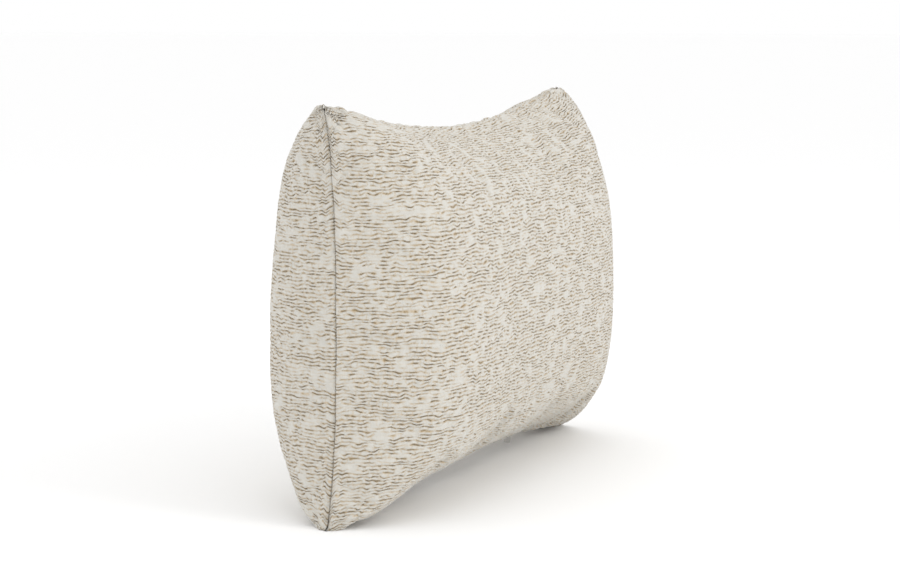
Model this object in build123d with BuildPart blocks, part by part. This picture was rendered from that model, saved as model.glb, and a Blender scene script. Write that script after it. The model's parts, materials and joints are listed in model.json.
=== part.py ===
from build123d import *
import os
from math import pi, sin

os.makedirs("parts", exist_ok=True)

# Lumbar support cushion: a knife-edge cover of two woven panels with a zip in its bottom seam, and a
# fibre-filled inner cushion. It stands on its long bottom edge: +X along its length, +Z up, and -Y is the
# side that meets the sitter's back. The origin is on the floor, under the middle.

# ---- driving dimensions, mm ----
HALF_LENGTH = 266.0          # nominal corner of the cover, before the ears are rounded and drawn in
HALF_HEIGHT = 168.5
HALF_DEPTH = 85.0            # crown of each panel, from the seam plane
SINK = 11.0                  # nominal corners below the floor: the bottom ears are pressed flat on it
EAR_ROUNDING = 0.045         # share by which the four ears fall short of their nominal corners
SIDE_PULL = 0.116            # share of the half length by which the short sides draw in
TOP_PULL = 0.19              # share of the half height by which the top edge draws in
BOTTOM_PULL = 0.135
SIDE_BEND = 3.4              # exponents of those three curves, from one ear to the other
TOP_BEND = 2.2
BOTTOM_BEND = 4.0
BELLY = -0.14                # the fullest point sits this far below the middle, as a share
LENGTH_FULLNESS = 6.5        # how squarely the crown fills out along the length
HEIGHT_FULLNESS = 2.4        # and up the height
EDGE_ROUNDNESS = 0.5         # 0.5 is a round edge, 1.0 a sharp one
GRID = 24                    # spans of each panel's surface, each way

COVER_WALL = 1.6             # woven cover cloth
SEAM_ALLOWANCE = 10.0        # width of the cloth turned in behind the seam
COVER_PLY = 0.9              # pressed thickness of each ply in the seam
TICKING_WALL = 0.8
TICKING_ALLOWANCE = 8.0
INSERT_RIM = 13.0            # the inner cushion's seam lies this far inside the cover's
INSERT_DEPTH = 2.4
THREAD = 0.4
STITCH_OFFSET = 1.4          # from the inside of the seam to the stitch line

ZIP_HEIGHT = 16.5            # underside of the zip tapes above the floor
TAPE_LENGTH = 300.0
TAPE_WIDTH = 15.0            # from the middle of the chain to the tape's outer edge
TAPE = 0.6
SLIT_LENGTH = 290.0
SLIT_HALF = 4.8              # half the gap between the two folded hems
CHAIN_LENGTH = 275.0
CHAIN_HALF = 3.2
CHAIN_GAP = 0.5              # half the gap down the middle of the chain
COIL_HEIGHT = 1.3
COIL_PITCH = 2.5
SLIDER_X = 125.0             # slider at its closed end
SLIDER_LENGTH = 11.0
SLIDER_HALF = 4.0
HINGE_DROP = 3.8             # pull tab's pivot below the tapes
TAB_LENGTH = 9.5
TAB_HALF = 3.0
TAB = 1.2


def panel_point(s, t, rim, wall, base):
    """A point of the front panel. s and t run from -1 to 1 between seams, and are closer near them."""
    along = sin(s * pi / 2)
    up = sin(t * pi / 2)
    ears = 1 - EAR_ROUNDING * abs(along * up) ** 4
    pull = TOP_PULL if up > 0 else BOTTOM_PULL
    bend = TOP_BEND if up > 0 else BOTTOM_BEND
    x = (HALF_LENGTH - rim) * along * (1 - SIDE_PULL * (1 - abs(up) ** SIDE_BEND)) * ears
    z = (HALF_HEIGHT - rim) * up * (1 - pull * (1 - abs(along) ** bend)) * ears
    from_belly = (up - BELLY) / (1 - BELLY) if up > BELLY else (up - BELLY) / (1 + BELLY)
    swell_along = max(1 - abs(along) ** LENGTH_FULLNESS, 0)
    swell_up = max(1 - abs(from_belly) ** HEIGHT_FULLNESS, 0)
    y = base + (HALF_DEPTH - wall - base) * (swell_along * swell_up) ** EDGE_ROUNDNESS
    return Vector(x, -y, z + HALF_HEIGHT - SINK)


def half_envelope(rim, wall, base, floor):
    """The front half of the cushion's shape, inset by rim at its seam and by wall at its crown.

    Its flat back lies at base, in front of the seam plane, and what is below the floor is cut off.
    """
    steps = [2 * index / GRID - 1 for index in range(GRID + 1)]
    points = [[panel_point(s, t, rim, wall, base) for t in steps] for s in steps]
    crown = Face.make_surface_from_array_of_points(points, tol=0.05, min_deg=3, max_deg=5)
    with BuildPart() as half:
        add(Solid(Shell([crown, Face(crown.outer_wire())])))
        split(bisect_by=Plane.XY.offset(floor), keep=Keep.TOP)
    return half.part


def seam_outline(rim):
    """The four curves of the seam, a distance inside it, in the seam plane's own axes."""
    ends = [2 * index / 12 - 1 for index in range(13)]
    sides = [[(s, -1) for s in ends], [(1, t) for t in ends]]
    sides += [[(-s, 1) for s in ends], [(-1, -t) for t in ends]]
    for side in sides:
        places = [panel_point(s, t, rim, 0, 0) for s, t in side]
        Spline(*[(place.X, place.Z) for place in places])


def seam_plate(rim, start, thickness, floor):
    """A flat plate with the seam's outline, a distance inside it, on the front side."""
    with BuildPart() as plate:
        with BuildSketch(Plane.XZ.offset(start)):
            with BuildLine():
                seam_outline(rim)
            make_face()
        extrude(amount=thickness)
        split(bisect_by=Plane.XY.offset(floor), keep=Keep.TOP)
    return plate.part


def seam_ring(outer, inner, start, thickness, floor):
    """A flat ring that follows the seam, between two distances inside it, on the front side."""
    return seam_plate(outer, start, thickness, floor) - seam_plate(inner, start, thickness, floor)


def block(x0, x1, y0, y1, z0, z1):
    """A plain box between two corners."""
    corner = Plane((x0, y0, z0))
    return corner * Box(x1 - x0, y1 - y0, z1 - z0, align=(Align.MIN, Align.MIN, Align.MIN))


def finish(piece, name):
    """Name a finished piece and write it."""
    piece.part.label = name
    export_step(piece.part, f"parts/{name}.step")


# ---- shapes that several pieces share ----
zip_zone = block(-TAPE_LENGTH / 2 - 1, TAPE_LENGTH / 2 + 1, -60, 60, -1, ZIP_HEIGHT + 12)
hem_box = block(-TAPE_LENGTH / 2, TAPE_LENGTH / 2, -TAPE_WIDTH, -SLIT_HALF, 0, ZIP_HEIGHT)
slit_box = block(-SLIT_LENGTH / 2, SLIT_LENGTH / 2, -SLIT_HALF, SLIT_HALF, -1, ZIP_HEIGHT + 12)
tape_gap = block(-TAPE_LENGTH / 2 - 1, TAPE_LENGTH / 2 + 1, -COVER_PLY - 1, 0, ZIP_HEIGHT, ZIP_HEIGHT + 12)

# ---- cover panels: a crowned shell, whose hollow leaves the turned-in seam allowance standing, and a
# ---- folded hem along the zip
with BuildPart() as front_hollow:
    add(half_envelope(COVER_WALL, COVER_WALL, COVER_PLY, COVER_WALL))
    add(seam_plate(COVER_WALL + SEAM_ALLOWANCE, 0, COVER_PLY, COVER_WALL))
    add(hem_box, mode=Mode.SUBTRACT)

with BuildPart() as front_cover_panel:
    add(half_envelope(0, 0, 0, 0))
    add(front_hollow.part, mode=Mode.SUBTRACT)
    add(slit_box, mode=Mode.SUBTRACT)
    add(tape_gap, mode=Mode.SUBTRACT)
finish(front_cover_panel, "front_cover_panel")

with BuildPart() as rear_cover_panel:
    mirror(front_cover_panel.part, about=Plane.XZ)
finish(rear_cover_panel, "rear_cover_panel")

# ---- lock stitch of the cover seam: one thread on each face of the two plies ----
stitch_rim = COVER_WALL + STITCH_OFFSET
with BuildPart() as cover_seam_thread:
    add(seam_ring(stitch_rim, stitch_rim + THREAD, COVER_PLY, THREAD, COVER_WALL + THREAD))
    add(zip_zone, mode=Mode.SUBTRACT)
    mirror(about=Plane.XZ)
finish(cover_seam_thread, "cover_seam_thread")

# ---- overlock thread around the raw edges of the two plies ----
edge_rim = COVER_WALL + SEAM_ALLOWANCE
with BuildPart() as cover_overlock_thread:
    add(seam_ring(edge_rim - 3, edge_rim + THREAD, 0, COVER_PLY + THREAD, 0))
    add(seam_ring(edge_rim - 4, edge_rim, 0, COVER_PLY, 0), mode=Mode.SUBTRACT)
    add(zip_zone, mode=Mode.SUBTRACT)
    mirror(about=Plane.XZ)
finish(cover_overlock_thread, "cover_overlock_thread")

# ---- zip tapes, one on each hem ----
with BuildPart() as zip_tape_front:
    with BuildSketch(Plane.XY.offset(ZIP_HEIGHT)):
        with Locations((0, -(TAPE_WIDTH + CHAIN_GAP) / 2)):
            Rectangle(TAPE_LENGTH, TAPE_WIDTH - CHAIN_GAP)
    extrude(amount=TAPE)
finish(zip_tape_front, "zip_tape_front")

with BuildPart() as zip_tape_rear:
    mirror(zip_tape_front.part, about=Plane.XZ)
finish(zip_tape_rear, "zip_tape_rear")


# ---- chain: a rail and its turns under the edge of each tape ----
def coil(side, phase):
    """One half of the chain: the sewn-down rail and a row of turns that face the other half."""
    turns = int(CHAIN_LENGTH / COIL_PITCH) - 1
    with BuildPart() as half_chain:
        with BuildSketch(Plane.XY.offset(ZIP_HEIGHT - COIL_HEIGHT)):
            with Locations((0, side * (CHAIN_HALF - 0.6))):
                Rectangle(CHAIN_LENGTH, 1.2)
            with Locations((phase, side * (CHAIN_HALF + CHAIN_GAP - 0.6) / 2)):
                with GridLocations(COIL_PITCH, 1, turns, 1):
                    Rectangle(COIL_PITCH * 0.52, CHAIN_HALF - CHAIN_GAP - 0.6)
        extrude(amount=COIL_HEIGHT)
    return half_chain.part


with BuildPart() as zip_coil_front:
    add(coil(-1, 0))
finish(zip_coil_front, "zip_coil_front")

with BuildPart() as zip_coil_rear:
    add(coil(1, COIL_PITCH / 2))
finish(zip_coil_rear, "zip_coil_rear")

# ---- slider: two plates joined by the web that runs between the coils, and a bridge for the tab ----
PLATE_LOW = ZIP_HEIGHT - COIL_HEIGHT - 1.6
with BuildPart() as zip_slider:
    with BuildSketch(Plane.XY.offset(PLATE_LOW)):
        with Locations((SLIDER_X, 0)):
            RectangleRounded(SLIDER_LENGTH, 2 * SLIDER_HALF, 2.2)
    extrude(amount=1.3)
    with BuildSketch(Plane.XY.offset(ZIP_HEIGHT + TAPE + 0.3)):
        with Locations((SLIDER_X, 0)):
            RectangleRounded(SLIDER_LENGTH, 2 * SLIDER_HALF, 2.2)
    extrude(amount=1.2)
    with BuildSketch(Plane.XY.offset(PLATE_LOW + 1)):
        with Locations((SLIDER_X + SLIDER_LENGTH / 2 - 2.2, 0)):
            Rectangle(3.4, 2 * CHAIN_GAP - 0.4)
    extrude(amount=ZIP_HEIGHT + TAPE + 0.6 - PLATE_LOW - 1)
    with BuildSketch(Plane.XZ.offset(-0.8)):
        with Locations((SLIDER_X, PLATE_LOW - 1.3)):
            Rectangle(8.4, 2.8)
        with Locations((SLIDER_X, PLATE_LOW - 0.85)):
            Rectangle(5.2, 1.7, mode=Mode.SUBTRACT)
    extrude(amount=1.6)
finish(zip_slider, "zip_slider")

# ---- pull tab: a crossbar inside the bridge, two legs and a plate with a rounded end ----
HINGE_Z = ZIP_HEIGHT - HINGE_DROP
with BuildPart() as zip_pull_tab:
    with BuildSketch(Plane.YZ.offset(SLIDER_X - TAB / 2)):
        with Locations((0, HINGE_Z - TAB_LENGTH / 2 + TAB / 4)):
            RectangleRounded(2 * TAB_HALF, TAB_LENGTH + TAB / 2, 0.9)
        with Locations((0, HINGE_Z - 2.95)):
            Rectangle(2.6, 4.7, mode=Mode.SUBTRACT)
    extrude(amount=TAB)
finish(zip_pull_tab, "zip_pull_tab")

# ---- stops: one clip on each coil at the closed end, and one across both at the other ----
STOP_X = SLIDER_X + SLIDER_LENGTH / 2 + 2.2
with BuildPart() as zip_top_stops:
    with BuildSketch(Plane.XY.offset(ZIP_HEIGHT - COIL_HEIGHT - 0.9)):
        with Locations((STOP_X, -1.9), (STOP_X, 1.9)):
            RectangleRounded(2.4, 2.4, 0.5)
    extrude(amount=0.9)
finish(zip_top_stops, "zip_top_stops")

with BuildPart() as zip_bottom_stop:
    with BuildSketch(Plane.XY.offset(ZIP_HEIGHT - COIL_HEIGHT - 0.9)):
        with Locations((-STOP_X, 0)):
            RectangleRounded(2.4, 2 * CHAIN_HALF, 0.5)
    extrude(amount=0.9)
finish(zip_bottom_stop, "zip_bottom_stop")

# ---- threads that hold the tapes down, and the bar tacks at the slit's ends ----
with BuildPart() as zip_tape_stitching:
    with BuildSketch(Plane.XY.offset(ZIP_HEIGHT + TAPE)):
        with Locations((0, -TAPE_WIDTH + 4), (0, TAPE_WIDTH - 4)):
            Rectangle(TAPE_LENGTH - 4, 0.5)
    extrude(amount=THREAD)
finish(zip_tape_stitching, "zip_tape_stitching")

with BuildPart() as zip_bar_tacks:
    with BuildSketch(Plane.XY.offset(ZIP_HEIGHT + TAPE)):
        with Locations((-SLIT_LENGTH / 2 - 1.6, 0), (SLIT_LENGTH / 2 + 1.6, 0)):
            Rectangle(2.2, 16)
    extrude(amount=0.7)
finish(zip_bar_tacks, "zip_bar_tacks")

# ---- inner cushion: two ticking panels, their seam thread and the fibre fill ----
ticking_rim = INSERT_RIM + TICKING_WALL
ticking_edge = ticking_rim + TICKING_ALLOWANCE
ticking_depth = INSERT_DEPTH + TICKING_WALL
with BuildPart() as insert_hollow:
    add(half_envelope(ticking_rim, ticking_depth, TICKING_WALL, 0))
    add(seam_plate(ticking_edge, 0, TICKING_WALL, 0))

with BuildPart() as insert_front_ticking:
    add(half_envelope(INSERT_RIM, INSERT_DEPTH, 0, 0))
    add(insert_hollow.part, mode=Mode.SUBTRACT)
finish(insert_front_ticking, "insert_front_ticking")

with BuildPart() as insert_rear_ticking:
    mirror(insert_front_ticking.part, about=Plane.XZ)
finish(insert_rear_ticking, "insert_rear_ticking")

ticking_stitch = ticking_rim + STITCH_OFFSET
with BuildPart() as insert_seam_thread:
    add(seam_ring(ticking_stitch, ticking_stitch + THREAD, TICKING_WALL, THREAD, 0))
    mirror(about=Plane.XZ)
finish(insert_seam_thread, "insert_seam_thread")

# The fill's two crowns meet in a plate that stays inside the ticking's seam allowance.
FILL_GAP = 0.8
SEAM_CLEARANCE = 1.5
with BuildPart() as fibre_fill:
    add(half_envelope(ticking_rim + FILL_GAP, ticking_depth + FILL_GAP, SEAM_CLEARANCE, 0))
    add(seam_plate(ticking_edge + FILL_GAP, 0, SEAM_CLEARANCE, 0))
    mirror(about=Plane.XZ)
finish(fibre_fill, "fibre_fill")

# ---- blank labels: the cover's in its side seam, the inner cushion's at its other end ----
SIDE_SEAM = HALF_LENGTH * (1 - SIDE_PULL)
with BuildPart() as care_label:
    with BuildSketch(Plane.XZ.offset(-COVER_PLY - THREAD - 0.1)):
        with Locations((SIDE_SEAM - 6.5, HALF_HEIGHT)):
            Rectangle(9, 24)
    extrude(amount=-0.3)
finish(care_label, "care_label")

with BuildPart() as insert_label:
    with BuildSketch(Plane.XZ.offset(COVER_PLY + THREAD + 0.1)):
        with Locations((-SIDE_SEAM + 7.9, HALF_HEIGHT)):
            Rectangle(6.8, 20)
    extrude(amount=0.3)
finish(insert_label, "insert_label")
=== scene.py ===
import bpy
import json
import math
import numpy as np
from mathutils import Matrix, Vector


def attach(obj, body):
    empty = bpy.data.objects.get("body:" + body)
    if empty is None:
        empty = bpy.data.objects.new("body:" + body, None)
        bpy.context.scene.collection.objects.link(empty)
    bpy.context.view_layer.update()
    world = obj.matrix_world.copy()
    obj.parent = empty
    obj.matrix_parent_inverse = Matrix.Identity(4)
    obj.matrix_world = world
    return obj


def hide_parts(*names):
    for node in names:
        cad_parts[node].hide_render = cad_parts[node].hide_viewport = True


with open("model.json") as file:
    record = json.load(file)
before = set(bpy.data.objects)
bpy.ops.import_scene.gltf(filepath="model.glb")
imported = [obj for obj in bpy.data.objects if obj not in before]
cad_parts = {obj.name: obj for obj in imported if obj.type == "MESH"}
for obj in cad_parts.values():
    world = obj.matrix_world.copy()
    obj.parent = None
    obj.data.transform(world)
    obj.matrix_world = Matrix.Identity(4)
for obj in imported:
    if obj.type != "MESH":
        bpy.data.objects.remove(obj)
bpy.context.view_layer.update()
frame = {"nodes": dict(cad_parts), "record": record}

# Lumbar support cushion: two boucle panels sewn edge to edge round a stuffed inner cushion.
# Each panel is a grid that runs from seam to seam, so the weave follows the cloth round the ears.
# Metres throughout.

# ---- the cover's shape, as in the CAD model except for BLUNT ----
HALF_LENGTH = 0.266
HALF_HEIGHT = 0.1685
HALF_DEPTH = 0.085
SINK = 0.011
EAR_ROUNDING = 0.045
SIDE_PULL, SIDE_BEND = 0.116, 3.4
TOP_PULL, TOP_BEND = 0.19, 2.2
BOTTOM_PULL, BOTTOM_BEND = 0.135, 4.0
BELLY = -0.14
LENGTH_FULLNESS, HEIGHT_FULLNESS = 6.5, 2.4
BLUNT, BLUNT_BEND = 0.014, 16.0  # the stuffing keeps the seams and ears this blunt
INSERT_RIM, INSERT_DEPTH = 0.0135, 0.0027
FILL_RIM, FILL_DEPTH = 0.0150, 0.0045
SLIT_HALF_LENGTH = 0.145
SLIT_HALF_WIDTH = 0.0048

# ---- cloth and weave ----
FRONT, REAR = -1, 1
DENSE = (400, 540)               # spans of a cover panel, along and up
PLAIN = (96, 72)                 # spans of an inner piece
CLOTH = (84, 60)                 # spans of the panels while they are simulated
CLOTH_CAP = 0.006                # the farthest that the cloth may move a point
ROW_PITCH = 0.0029
NUB_LENGTH = 0.0058
RELIEF = 0.0011
SWELL = 0.005                    # the simulated cloth swells, so it starts that much flatter
PUCKER_LENGTH, PUCKER_REACH, PUCKER_HEIGHT = 0.019, 0.013, 0.0012
LUMP_HEIGHT = 0.0016
CREASE_REACH, CREASE_HEIGHT = 0.045, 0.0015
SEAM_GAP = 0.0003                # the nearest that a panel comes to the seam's plane
TURNED_IN = 0.006                # the edge of the cloth that is turned in at the seam
TURNED_IN_LIFT = 0.0015          # that edge keeps this far above the floor
HEM_REACH = 0.02                 # how far up from the zip the parted hems are felt
TICKING_THICKNESS = 0.0006
ZIP_FADE = 0.012                 # the length over which the hems part at each end of the zip
CLOTH_FRAMES = 24

# ---- colours of the boucle, and how wide its gaps are as a share of a row or nub ----
CREAM_SHADE, CREAM_LIGHT = (0.56, 0.54, 0.49), (0.68, 0.665, 0.62)
TAN_LIGHT, TAN_SHADE = (0.66, 0.49, 0.28), (0.50, 0.38, 0.22)
# painted shade: the dark brown that stands in for the shadow deep in each gap between nubs
GAP_PAINTED_SHADE = (0.20, 0.14, 0.07)
ROW_GAP, NUB_GAP = 0.31, 0.17    # in the colour
ROW_GROOVE, NUB_GROOVE = 0.34, 0.2  # in the mesh


def smooth_noise(x, y, seed):
    """Smooth noise from -1 to 1 over a plane, about one bump per unit."""
    table = np.random.default_rng(seed).uniform(-1, 1, (256, 256))
    column, line = np.floor(x).astype(int), np.floor(y).astype(int)
    fx, fy = x - column, y - line
    fx, fy = fx * fx * (3 - 2 * fx), fy * fy * (3 - 2 * fy)
    left, right = column % 256, (column + 1) % 256
    low, high = line % 256, (line + 1) % 256
    near = table[left, low] * (1 - fx) + table[right, low] * fx
    far = table[left, high] * (1 - fx) + table[right, high] * fx
    return near * (1 - fy) + far * fy


def panel_points(s, t, rim, wall, side):
    """Points of a crowned panel. s and t run from -1 to 1 between seams."""
    along, up = np.sin(s * np.pi / 2), np.sin(t * np.pi / 2)
    ears = 1 - EAR_ROUNDING * np.abs(along * up) ** 4
    pull = np.where(up > 0, TOP_PULL, BOTTOM_PULL)
    bend = np.where(up > 0, TOP_BEND, BOTTOM_BEND)
    x = (HALF_LENGTH - rim) * along * (1 - SIDE_PULL * (1 - np.abs(up) ** SIDE_BEND)) * ears
    z = (HALF_HEIGHT - rim) * up * (1 - pull * (1 - np.abs(along) ** bend)) * ears
    from_belly = (up - BELLY) / np.where(up > BELLY, 1 - BELLY, 1 + BELLY)
    swell_along = np.maximum(1 - np.abs(along) ** LENGTH_FULLNESS, 0)
    swell_up = np.maximum(1 - np.abs(from_belly) ** HEIGHT_FULLNESS, 0)
    blunt = np.maximum((1 - np.abs(along) ** BLUNT_BEND) * (1 - np.abs(up) ** BLUNT_BEND), 0)
    y = side * np.sqrt((HALF_DEPTH - wall) ** 2 * swell_along * swell_up + BLUNT ** 2 * blunt)
    return np.stack([x, y, z + HALF_HEIGHT - SINK], -1)


def arc(points, axis):
    """Distance along the cloth from its middle, down one axis of a grid."""
    steps = np.linalg.norm(np.diff(points, axis=axis), axis=-1)
    total = np.cumsum(steps, axis=axis)
    total = np.concatenate([np.zeros_like(np.take(total, [0], axis=axis)), total], axis=axis)
    middle = np.take(total, [total.shape[axis] // 2], axis=axis)
    return total - middle


def even_steps(spans, along):
    """Values of s, or of t, that divide the panel's middle line into equal lengths of cloth."""
    fine = np.linspace(-1, 1, 2001)
    zero = np.zeros_like(fine)
    line = panel_points(fine, zero, 0, 0, FRONT) if along else panel_points(zero, fine, 0, 0, FRONT)
    length = np.concatenate([[0], np.cumsum(np.linalg.norm(np.diff(line, axis=0), axis=1))])
    return np.interp(np.linspace(0, length[-1], spans + 1), length, fine)


def grid(spans):
    """The s and t of every point of a panel with that many spans."""
    return np.meshgrid(even_steps(spans[0], True), even_steps(spans[1], False), indexing="ij")


def normals(points, side):
    """Outward normals of a grid of points."""
    du = np.gradient(points, axis=0)
    dv = np.gradient(points, axis=1)
    normal = np.cross(du, dv) * -side
    return normal / np.maximum(np.linalg.norm(normal, axis=-1, keepdims=True), 1e-9)


def resample(field, spans):
    """A coarse grid of vectors, spread over a finer one and smoothed."""
    for axis in (0, 1):
        old = np.linspace(0, 1, field.shape[axis])
        new = np.linspace(0, 1, spans[axis] + 1)
        place = np.interp(new, old, np.arange(field.shape[axis]))
        low = np.minimum(place.astype(int), field.shape[axis] - 2)
        share = (place - low)
        share = (share * share * (3 - 2 * share)).reshape((-1, 1, 1) if axis == 0 else (1, -1, 1))
        field = np.take(field, low, axis=axis) * (1 - share) + np.take(field, low + 1, axis=axis) * share
    return field


def link(name, vertices, faces):
    """A smooth-shaded mesh object made from numpy arrays."""
    mesh = bpy.data.meshes.new(name)
    mesh.from_pydata(vertices.tolist(), [], faces.tolist())
    mesh.update()
    mesh.polygons.foreach_set("use_smooth", np.ones(len(mesh.polygons), dtype=bool))
    piece = bpy.data.objects.new(name, mesh)
    bpy.context.collection.objects.link(piece)
    return piece


def quads(columns, lines, first=0, flip=False):
    """Faces of a grid of points, numbered column by column."""
    index = first + np.arange(columns * lines).reshape(columns, lines)
    corners = [index[:-1, :-1], index[1:, :-1], index[1:, 1:], index[:-1, 1:]]
    faces = np.stack([corner.ravel() for corner in corners], 1)
    return faces[:, ::-1] if flip else faces


def cloth_shift():
    """How the stuffed cloth settles: a cloth simulation of both panels, blown up by the fill."""
    s, t = grid(CLOTH)
    start = [panel_points(s, t, 0, SWELL, side) for side in (FRONT, REAR)]
    columns, lines = s.shape
    count = columns * lines
    faces = np.concatenate([quads(columns, lines), quads(columns, lines, count, True)])
    edge = np.zeros((columns, lines), dtype=bool)
    edge[[0, -1], :] = True
    edge[:, [0, -1]] = True
    twin = np.arange(2 * count)
    twin[count:][edge.ravel()] = np.arange(count)[edge.ravel()]
    piece = link("cloth_trial", np.concatenate([part.reshape(-1, 3) for part in start]), twin[faces])
    pins = piece.vertex_groups.new(name="seam")
    pins.add(np.flatnonzero(edge.ravel()).tolist(), 1.0, "REPLACE")
    pins.add((count + np.flatnonzero(edge.ravel())).tolist(), 1.0, "REPLACE")
    modifier = piece.modifiers.new("cloth", "CLOTH")
    cloth = modifier.settings
    cloth.quality = 8
    cloth.mass = 0.3
    cloth.tension_stiffness = cloth.compression_stiffness = 12
    cloth.shear_stiffness = 6
    cloth.bending_stiffness = 0.3
    cloth.vertex_group_mass = "seam"
    cloth.shrink_min = -0.022
    cloth.use_pressure = True
    cloth.uniform_pressure_force = 3.0
    cloth.effector_weights.gravity = 0
    modifier.collision_settings.use_collision = False
    modifier.point_cache.frame_start, modifier.point_cache.frame_end = 1, CLOTH_FRAMES
    for number in range(1, CLOTH_FRAMES + 1):
        bpy.context.scene.frame_set(number)
    settled = piece.evaluated_get(bpy.context.evaluated_depsgraph_get()).to_mesh()
    places = np.empty(len(settled.vertices) * 3)
    settled.vertices.foreach_get("co", places)
    places = places.reshape(2, columns, lines, 3)
    shifts = []
    for side in (0, 1):
        shift = places[side] - start[side]
        shift[edge] = 0
        length = np.linalg.norm(shift, axis=-1, keepdims=True)
        shifts.append(shift * np.minimum(1, CLOTH_CAP / np.maximum(length, 1e-9)))
    bpy.data.objects.remove(piece, do_unlink=True)
    bpy.context.scene.frame_set(1)
    return shifts


# ---- materials ----
def material(name):
    """A new node material: (material, its node tree, its Principled shader)."""
    made = bpy.data.materials.new(name)
    made.use_nodes = True
    return made, made.node_tree, made.node_tree.nodes["Principled BSDF"]


def math_node(tree, operation, first, second=None, third=None, clamp=False):
    """The output of a Math node, from numbers or sockets."""
    node = tree.nodes.new("ShaderNodeMath")
    node.operation = operation
    node.use_clamp = clamp
    for number, value in enumerate((first, second, third)):
        if value is None:
            continue
        if isinstance(value, (int, float)):
            node.inputs[number].default_value = value
        else:
            tree.links.new(value, node.inputs[number])
    return node.outputs[0]


def mix_colour(tree, share, first, second):
    """The output of a colour mix, from colours or sockets."""
    node = tree.nodes.new("ShaderNodeMix")
    node.data_type = "RGBA"
    tree.links.new(share, node.inputs[0])
    for socket, value in ((node.inputs[6], first), (node.inputs[7], second)):
        if isinstance(value, tuple):
            socket.default_value = (*value, 1)
        else:
            tree.links.new(value, socket)
    return node.outputs[2]


def noise(tree, vector, scale, detail=2.0, roughness=0.5):
    """The value of a noise texture over a vector socket."""
    node = tree.nodes.new("ShaderNodeTexNoise")
    node.inputs["Scale"].default_value = scale
    node.inputs["Detail"].default_value = detail
    node.inputs["Roughness"].default_value = roughness
    tree.links.new(vector, node.inputs["Vector"])
    return node.outputs["Fac"]


def attribute(tree, name):
    """An attribute node that reads a value kept on the mesh."""
    node = tree.nodes.new("ShaderNodeAttribute")
    node.attribute_name = name
    return node


def bump(tree, shader, height, distance, strength=1.0):
    """Relief from a height socket."""
    node = tree.nodes.new("ShaderNodeBump")
    node.inputs["Distance"].default_value = distance
    node.inputs["Strength"].default_value = strength
    tree.links.new(height, node.inputs["Height"])
    tree.links.new(node.outputs["Normal"], shader.inputs["Normal"])


def edge_distance(tree, value):
    """How far a socket's value is from the nearest whole number."""
    share = math_node(tree, "FRACT", value)
    from_middle = math_node(tree, "ABSOLUTE", math_node(tree, "SUBTRACT", share, 0.5))
    return math_node(tree, "SUBTRACT", 0.5, from_middle)


def boucle():
    """Cream boucle: plump looped nubs in rows, with tan binding yarn and painted shadow in the gaps
    between.
    """
    made, tree, shader = material("boucle")
    weave = attribute(tree, "weave")
    parts = tree.nodes.new("ShaderNodeSeparateXYZ")
    tree.links.new(weave.outputs["Vector"], parts.inputs[0])
    row, nub, open_share = parts.outputs
    flat = attribute(tree, "flat").outputs["Vector"]
    row_number = math_node(tree, "FLOOR", row)
    across = edge_distance(tree, row)
    within = edge_distance(tree, math_node(tree, "MULTIPLY_ADD", row_number, 0.618, nub))
    fuzz = noise(tree, flat, 900, 3)
    ragged = math_node(tree, "MULTIPLY_ADD", fuzz, 0.16, -0.08)
    ragged_across = math_node(tree, "ADD", across, ragged)
    ragged_within = math_node(tree, "ADD", within, ragged)
    gap = math_node(tree, "SUBTRACT", 1.0, math_node(tree, "DIVIDE", ragged_across, ROW_GAP), clamp=True)
    end = math_node(tree, "SUBTRACT", 1.0, math_node(tree, "DIVIDE", ragged_within, NUB_GAP), clamp=True)
    broken = math_node(tree, "MULTIPLY_ADD", noise(tree, flat, 230, 1), 3.4, -1.0, clamp=True)
    gap = math_node(tree, "MULTIPLY", gap, math_node(tree, "MULTIPLY", open_share, broken))
    end = math_node(tree, "MULTIPLY", end, math_node(tree, "MULTIPLY", open_share, 0.30))
    gap = math_node(tree, "MAXIMUM", gap, end)
    tint = noise(tree, flat, 210, 2)
    cream = mix_colour(tree, tint, CREAM_SHADE, CREAM_LIGHT)
    tan_share = math_node(tree, "MULTIPLY", gap, 1.7, clamp=True)
    # Painted shadow: the deepest middle of each gap is darkened to a dark brown that stands in for
    # shade.
    painted_shade_share = math_node(tree, "MULTIPLY_ADD", gap, 2.5, -1.2, clamp=True)
    tan = mix_colour(tree, tint, TAN_LIGHT, TAN_SHADE)
    colour = mix_colour(tree, tan_share, cream, tan)
    colour = mix_colour(tree, painted_shade_share, colour, GAP_PAINTED_SHADE)
    tree.links.new(colour, shader.inputs["Base Color"])
    shader.inputs["Roughness"].default_value = 0.92
    shader.inputs["Specular IOR Level"].default_value = 0.25
    shader.inputs["Sheen Weight"].default_value = 0.25
    shader.inputs["Sheen Roughness"].default_value = 0.6
    plump = math_node(tree, "SUBTRACT", 1.0, math_node(tree, "POWER", gap, 1.5))
    height = math_node(tree, "MULTIPLY_ADD", fuzz, 0.35, plump)
    bump(tree, shader, height, 0.0016, 1.0)
    return made


def woven(name, light, dark, scale, roughness=0.85):
    """Fine cloth or thread: crossed yarns with a little colour variation."""
    made, tree, shader = material(name)
    place = tree.nodes.new("ShaderNodeTexCoord").outputs["Object"]
    waves = []
    for direction in ("X", "Z"):
        wave = tree.nodes.new("ShaderNodeTexWave")
        wave.bands_direction = direction
        wave.inputs["Scale"].default_value = scale
        wave.inputs["Distortion"].default_value = 0.6
        tree.links.new(place, wave.inputs["Vector"])
        waves.append(wave.outputs["Fac"])
    yarns = math_node(tree, "MAXIMUM", *waves)
    blotch = noise(tree, place, 90, 3)
    blotches = math_node(tree, "MULTIPLY", blotch, 0.4)
    share = math_node(tree, "MULTIPLY_ADD", yarns, 0.6, blotches, clamp=True)
    tree.links.new(mix_colour(tree, share, dark, light), shader.inputs["Base Color"])
    shader.inputs["Roughness"].default_value = roughness
    bump(tree, shader, yarns, 0.0001, 0.5)
    return made


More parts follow.
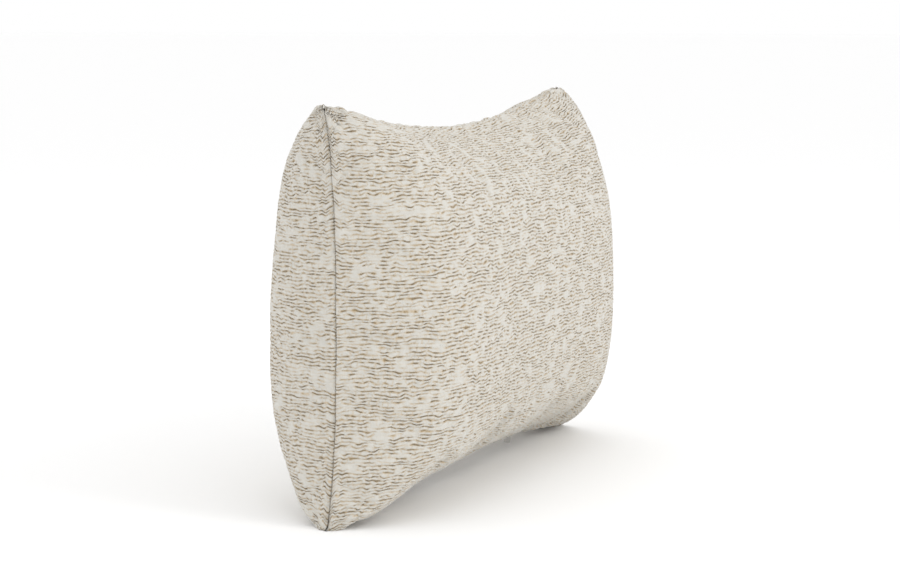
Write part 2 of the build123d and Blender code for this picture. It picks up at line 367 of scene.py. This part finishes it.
def brushed(name, light, dark, metallic, roughness):
    """Plated metal or nylon: fine scratches in its gloss."""
    made, tree, shader = material(name)
    place = tree.nodes.new("ShaderNodeTexCoord").outputs["Object"]
    grain = noise(tree, place, 700, 4)
    tree.links.new(mix_colour(tree, grain, dark, light), shader.inputs["Base Color"])
    shader.inputs["Metallic"].default_value = metallic
    rough = math_node(tree, "MULTIPLY_ADD", grain, 0.2, roughness - 0.1)
    tree.links.new(rough, shader.inputs["Roughness"])
    bump(tree, shader, grain, 0.00004, 0.4)
    return made


FINISHES = {
    "cover_fabric": boucle(),
    "cover_thread": woven("spun_thread", (0.72, 0.68, 0.60), (0.55, 0.50, 0.42), 900),
    "zip_tape": woven("woven_tape", (0.74, 0.71, 0.65), (0.58, 0.55, 0.48), 700),
    "zip_coil": brushed("nylon_coil", (0.78, 0.75, 0.69), (0.66, 0.62, 0.55), 0.0, 0.35),
    "zip_metal": brushed("plated_metal", (0.70, 0.69, 0.67), (0.55, 0.54, 0.52), 1.0, 0.32),
    "label_cloth": woven("label_ribbon", (0.88, 0.88, 0.86), (0.76, 0.76, 0.74), 1100, 0.6),
    "ticking_cloth": woven("ticking", (0.84, 0.84, 0.82), (0.72, 0.72, 0.70), 500),
    "ticking_thread": woven("ticking_thread", (0.88, 0.88, 0.86), (0.74, 0.74, 0.72), 900),
    "fibre": woven("hollow_fibre", (0.92, 0.92, 0.91), (0.80, 0.80, 0.79), 60, 0.95),
}


def keep(mesh, name, values):
    """Keeps a vector for each point of a mesh, for its material."""
    layer = mesh.attributes.new(name, "FLOAT_VECTOR", "POINT")
    layer.data.foreach_set("vector", np.ascontiguousarray(values, dtype=np.float32).ravel())


def declare(piece, node, slot):
    """Puts a soft piece in the place of its CAD solid."""
    piece.data.materials.append(FINISHES[slot])
    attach(piece, "cushion")
    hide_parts(node)


# ---- cover panels ----
def cover_panel(name, side, shift):
    """One cover panel, with the cloth's own drape, ears, seam lips and boucle relief."""
    s, t = grid(DENSE)
    points = panel_points(s, t, 0, SWELL, side) + resample(shift, DENSE)
    u, v = arc(points, 0), arc(points, 1)
    to_side = np.minimum(u - u[:1], u[-1:] - u)
    to_edge = np.minimum(v - v[:, :1], v[:, -1:] - v)
    seam = np.minimum(to_side, to_edge)
    seed = 11 if side == FRONT else 23
    out = normals(points, side)

    # Puckers where the seam gathers the cloth, soft lumps of fill, and creases that run out of each ear.
    run = np.where(to_side < to_edge, v, u)
    pucker = smooth_noise(run / PUCKER_LENGTH + 50, np.full_like(run, 3.5), seed)
    pucker = pucker * np.exp(-seam / PUCKER_REACH)
    lumps = smooth_noise(u / 0.07 + 9, v / 0.06 + 9, seed + 1) * (1 - np.exp(-seam / 0.03))
    ear_distance = np.hypot(to_side, to_edge)
    bearing = np.arctan2(to_edge, to_side)
    ear_number = (s > 0) * 2 + (t > 0)
    crease = np.cos(bearing * 9 + ear_number * 1.7) * (1 - np.exp(-ear_distance / 0.02))
    crease = crease * np.exp(-ear_distance / CREASE_REACH) * np.sin(np.clip(bearing * 2, 0, np.pi))
    lip = 0.0006 * np.exp(-((seam - 0.005) / 0.003) ** 2) - 0.0017 * np.exp(-(seam / 0.0016) ** 2)
    height = PUCKER_HEIGHT * pucker + LUMP_HEIGHT * lumps + CREASE_HEIGHT * crease + lip

    # Rows of nubs. Their gaps close here and there, where nubs crowd together.
    wander = 0.42 * smooth_noise(u / 0.0055, v / 0.0042, seed + 2)
    wander += 0.30 * smooth_noise(u / 0.022, v / 0.016, seed + 3)
    row = v / ROW_PITCH + wander + 400
    nub = u / NUB_LENGTH + 0.45 * smooth_noise(u / 0.009, v / 0.004, seed + 4) + 400
    crowd = smooth_noise(u / 0.0058, v / 0.0042, seed + 5)
    crowd = crowd + 0.3 * smooth_noise(u / 0.018, v / 0.013, seed + 6)
    open_share = np.clip(0.85 - 0.95 * np.clip(crowd - 0.05, 0, 1), 0.05, 1)
    across = 0.5 - np.abs(row % 1 - 0.5)
    within = 0.5 - np.abs((nub + 0.618 * np.floor(row)) % 1 - 0.5)
    gap = np.clip(1 - across / ROW_GROOVE, 0, 1) * open_share
    gap = np.maximum(gap, np.clip(1 - within / NUB_GROOVE, 0, 1) * open_share * 0.4)
    size = 0.25 * smooth_noise(nub, row, seed + 7)
    height += RELIEF * (1 - gap ** 1.3 + size - 0.7) * np.clip(seam / 0.002, 0.15, 1)
    points = points + out * height[..., None]

    # The hems part along the zip, in the middle of the bottom edge, and the bottom ears rest flat.
    window = np.clip((SLIT_HALF_LENGTH + 0.004 - np.abs(points[..., 0])) / ZIP_FADE, 0, 1)
    window = window * window * (3 - 2 * window)
    hem = SLIT_HALF_WIDTH * window * np.where(t < 0, np.exp(-to_edge / HEM_REACH), 0)
    points[..., 1] = side * np.maximum(np.hypot(points[..., 1], hem), SEAM_GAP)
    points[..., 2] = np.maximum(points[..., 2], 0.0)

    columns, lines = s.shape
    vertices = points.reshape(-1, 3)
    faces = quads(columns, lines, 0, side == REAR)
    index = np.arange(columns * lines).reshape(columns, lines)
    rim = np.concatenate([index[:-1, 0], index[-1, :-1], index[:0:-1, -1], index[0, :0:-1]])
    turned = vertices[rim].copy()
    centre = np.array([0, 0, HALF_HEIGHT - SINK])
    inward = (centre - turned) * np.array([1, 0, 1])
    turned += TURNED_IN * inward / np.linalg.norm(inward, axis=1, keepdims=True)
    turned[:, 2] = np.maximum(turned[:, 2], TURNED_IN_LIFT)
    ring = len(vertices) + np.arange(len(rim))
    strip = np.stack([rim, ring, np.roll(ring, -1), np.roll(rim, -1)], 1)
    strip = strip if side == FRONT else strip[:, ::-1]
    piece = link(name, np.concatenate([vertices, turned]), np.concatenate([faces, strip]))
    weave = np.stack([row, nub, open_share], -1).reshape(-1, 3)
    flat = np.stack([u, v, np.full_like(u, seed)], -1).reshape(-1, 3)
    keep(piece.data, "weave", np.concatenate([weave, weave[rim]]))
    keep(piece.data, "flat", np.concatenate([flat, flat[rim]]))
    return piece


shifts = cloth_shift()
declare(cover_panel("front_cover", FRONT, shifts[0]), "front_cover_panel", "cover_fabric")
declare(cover_panel("rear_cover", REAR, shifts[1]), "rear_cover_panel", "cover_fabric")


# ---- inner cushion ----
def inner_half(side, rim, wall):
    """Points of one plain half of the inner cushion, with the fill's soft lumps."""
    s, t = grid(PLAIN)
    points = panel_points(s, t, rim, wall, side)
    lumps = smooth_noise(points[..., 0] / 0.05 + 20, points[..., 2] / 0.05 + 20, 31 + side)
    swell = np.clip(np.abs(points[..., 1]) / 0.03, 0, 1)
    points[..., 1] -= side * 0.0012 * (1 + lumps) * swell
    return points


CASE_HALVES = (
    (FRONT, "inner_case_front", "insert_front_ticking"),
    (REAR, "inner_case_rear", "insert_rear_ticking"),
)
for side, name, node in CASE_HALVES:
    half = inner_half(side, INSERT_RIM, INSERT_DEPTH)
    columns, lines = half.shape[:2]
    case = link(name, half.reshape(-1, 3), quads(columns, lines, 0, side == REAR))
    shell = case.modifiers.new("wall", "SOLIDIFY")
    shell.thickness = TICKING_THICKNESS
    shell.offset = -1
    declare(case, node, "ticking_cloth")

halves = [inner_half(side, FILL_RIM, FILL_DEPTH) for side in (FRONT, REAR)]
columns, lines = halves[0].shape[:2]
both = np.concatenate([quads(columns, lines), quads(columns, lines, columns * lines, True)])
fill = link("fill", np.concatenate([half.reshape(-1, 3) for half in halves]), both)
weld = fill.modifiers.new("weld", "WELD")
weld.merge_threshold = 0.00005
declare(fill, "fibre_fill", "fibre")

# ---- CAD pieces that show as they are ----
replaced = {"front_cover_panel", "rear_cover_panel", "fibre_fill"}
replaced |= {node for _, _, node in CASE_HALVES}
slots = {part["node"]: part["material_slot"] for part in frame["record"]["subparts"]}
for node, piece in frame["nodes"].items():
    if node not in replaced:
        piece.data.materials.clear()
        piece.data.materials.append(FINISHES[slots[node]])

# ---- floor, light and camera ----
FLOOR_REACH = 80.0
floor_corners = FLOOR_REACH * np.array([[-1, -1, 0], [1, -1, 0], [1, 1, 0], [-1, 1, 0]])
floor = link("floor", floor_corners, np.array([[0, 1, 2, 3]]))
floor_finish, _, floor_shader = material("pale_floor")
floor_shader.inputs["Base Color"].default_value = (0.99, 0.99, 0.99, 1)
floor_shader.inputs["Roughness"].default_value = 0.9
floor_shader.inputs["Specular IOR Level"].default_value = 0.1
floor.data.materials.append(floor_finish)


def area_light(name, place, aim, size, power):
    """A soft square lamp aimed at a point."""
    lamp = bpy.data.lights.new(name, "AREA")
    lamp.size = size
    lamp.energy = power
    holder = bpy.data.objects.new(name, lamp)
    holder.location = place
    holder.rotation_euler = (Vector(aim) - Vector(place)).to_track_quat("-Z", "Y").to_euler()
    bpy.context.collection.objects.link(holder)


MIDDLE = (0.0, 0.0, 0.15)
area_light("key", (-0.2, -2.2, 1.6), MIDDLE, 0.9, 13)
area_light("near_end", (-2.6, 0.2, 1.3), MIDDLE, 1.6, 3)
area_light("top", (0.0, 0.6, 2.6), MIDDLE, 2.2, 3)

world = bpy.data.worlds.new("studio")
world.use_nodes = True
world.node_tree.nodes["Background"].inputs["Color"].default_value = (1, 1, 1, 1)
world.node_tree.nodes["Background"].inputs["Strength"].default_value = 1.0
bpy.context.scene.world = world
bpy.context.scene.view_settings.view_transform = "Standard"

camera_data = bpy.data.cameras.new("camera")
camera_data.lens = 92
camera_data.sensor_width = 36
camera = bpy.data.objects.new("camera", camera_data)
CAMERA_PLACE = (-1.781, -0.733, 0.378)
HEADING, DIP = 1.1785, 0.1128
camera.location = CAMERA_PLACE
sight = Vector((math.sin(HEADING) * math.cos(DIP), math.cos(HEADING) * math.cos(DIP), -math.sin(DIP)))
camera.rotation_euler = sight.to_track_quat("-Z", "Y").to_euler()
bpy.context.collection.objects.link(camera)
bpy.context.scene.camera = camera
